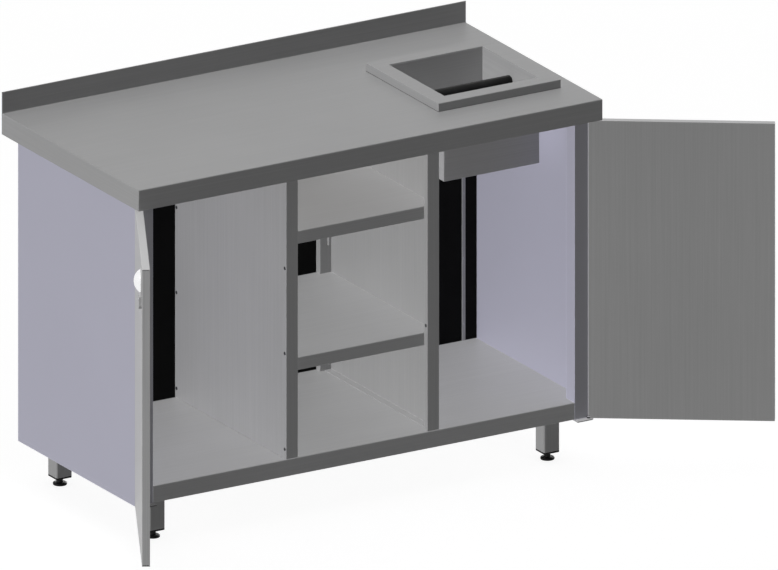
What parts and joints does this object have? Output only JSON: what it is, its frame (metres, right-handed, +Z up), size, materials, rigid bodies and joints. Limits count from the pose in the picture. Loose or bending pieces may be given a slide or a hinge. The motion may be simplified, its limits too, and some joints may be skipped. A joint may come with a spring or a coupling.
{
  "type": "barista station",
  "caption": "Free-standing stainless coffee service counter with cupboards, open shelves, swinging doors, a lift-out knock box and levelling feet.",
  "frame": {"origin": "on the floor, midway between the four levelling feet", "axes": "+X to the right along the front, +Y to the back and the wall, +Z up; the doors open towards -Y"},
  "size_m": [1.717, 0.9362, 0.91],
  "materials": {
    "steel_worktop": "brushed stainless sheet",
    "steel_panel": "satin stainless sheet",
    "painted_panel": "smooth light lavender-grey paint",
    "door_skin": "satin stainless sheet",
    "bare_steel": "zinc-plated, semi-matt",
    "bright_steel": "polished",
    "grip_grey": "fine grain",
    "black_panel": "matt laminate",
    "board": "raw pressed board",
    "black_plastic": "fine grain",
    "rubber": "matt",
    "magnet": "plain"
  },
  "bodies": {
    "carcass": {"worktop": "steel_worktop", "worktop_core": "board", "worktop_screws": "bare_steel", "left_side_panel": "painted_panel", "right_side_panel": "painted_panel", "left_divider": "steel_panel", "right_divider": "steel_panel", "divider_rivets": "bare_steel", "floor_panel": "steel_panel", "floor_channels": "bare_steel", "upper_shelf": "steel_panel", "lower_shelf": "steel_panel", "shelf_angles": "bare_steel", "back_panel": "black_panel", "back_strips": "steel_panel", "back_rivets": "bare_steel", "left_rear_post": "steel_panel", "right_rear_post": "steel_panel", "front_left_leg": "steel_panel", "front_right_leg": "steel_panel", "rear_left_leg": "steel_panel", "rear_right_leg": "steel_panel", "leg_bolts": "bare_steel", "leg_plugs": "black_plastic", "left_pivot_plates": "steel_panel", "right_pivot_plates": "steel_panel", "left_pivot_pins": "bare_steel", "right_pivot_pins": "bare_steel"},
    "front_left_foot": {"front_left_spindle": "bare_steel", "front_left_foot_pad": "black_plastic"},
    "front_right_foot": {"front_right_spindle": "bare_steel", "front_right_foot_pad": "black_plastic"},
    "rear_left_foot": {"rear_left_spindle": "bare_steel", "rear_left_foot_pad": "black_plastic"},
    "rear_right_foot": {"rear_right_spindle": "bare_steel", "rear_right_foot_pad": "black_plastic"},
    "left_door": {"left_door_outer_skin": "door_skin", "left_door_inner_skin": "door_skin", "left_door_core": "board", "left_door_leaves": "bare_steel", "left_door_bushes": "black_plastic", "left_door_magnets": "magnet", "left_grip_plate": "grip_grey", "left_grip_dome": "bright_steel", "left_grip_screws": "bare_steel"},
    "right_door": {"right_door_outer_skin": "door_skin", "right_door_inner_skin": "door_skin", "right_door_core": "board", "right_door_leaves": "bare_steel", "right_door_bushes": "black_plastic", "right_door_magnets": "magnet", "right_grip_plate": "grip_grey", "right_grip_dome": "bright_steel", "right_grip_screws": "bare_steel"},
    "knock_box": {"knock_collar": "steel_worktop", "knock_bin": "steel_panel", "knock_bar_rod": "bare_steel", "knock_bar_sleeve": "rubber"}
  },
  "joints": [
    {"name": "left_door_hinge", "type": "hinge", "parent": "carcass", "child": "left_door", "pos_m": [-0.5788, -0.268, 0], "axis": [0, 0, 1], "range_deg": [-31.6, 118.4]},
    {"name": "right_door_hinge", "type": "hinge", "parent": "carcass", "child": "right_door", "pos_m": [0.5788, -0.268, 0], "axis": [0, 0, 1], "range_deg": [-146.5, 3.5]},
    {"name": "knock_box_lift", "type": "slide", "parent": "carcass", "child": "knock_box", "axis": [0, 0, 1], "range_m": [0, 0.2]},
    {"name": "front_left_foot_screw", "type": "slide", "parent": "carcass", "child": "front_left_foot", "axis": [0, 0, 1], "range_m": [-0.02, 0.004]},
    {"name": "front_right_foot_screw", "type": "slide", "parent": "carcass", "child": "front_right_foot", "axis": [0, 0, 1], "range_m": [-0.02, 0.004]},
    {"name": "rear_left_foot_screw", "type": "slide", "parent": "carcass", "child": "rear_left_foot", "axis": [0, 0, 1], "range_m": [-0.02, 0.004]},
    {"name": "rear_right_foot_screw", "type": "slide", "parent": "carcass", "child": "rear_right_foot", "axis": [0, 0, 1], "range_m": [-0.02, 0.004]}
  ]
}
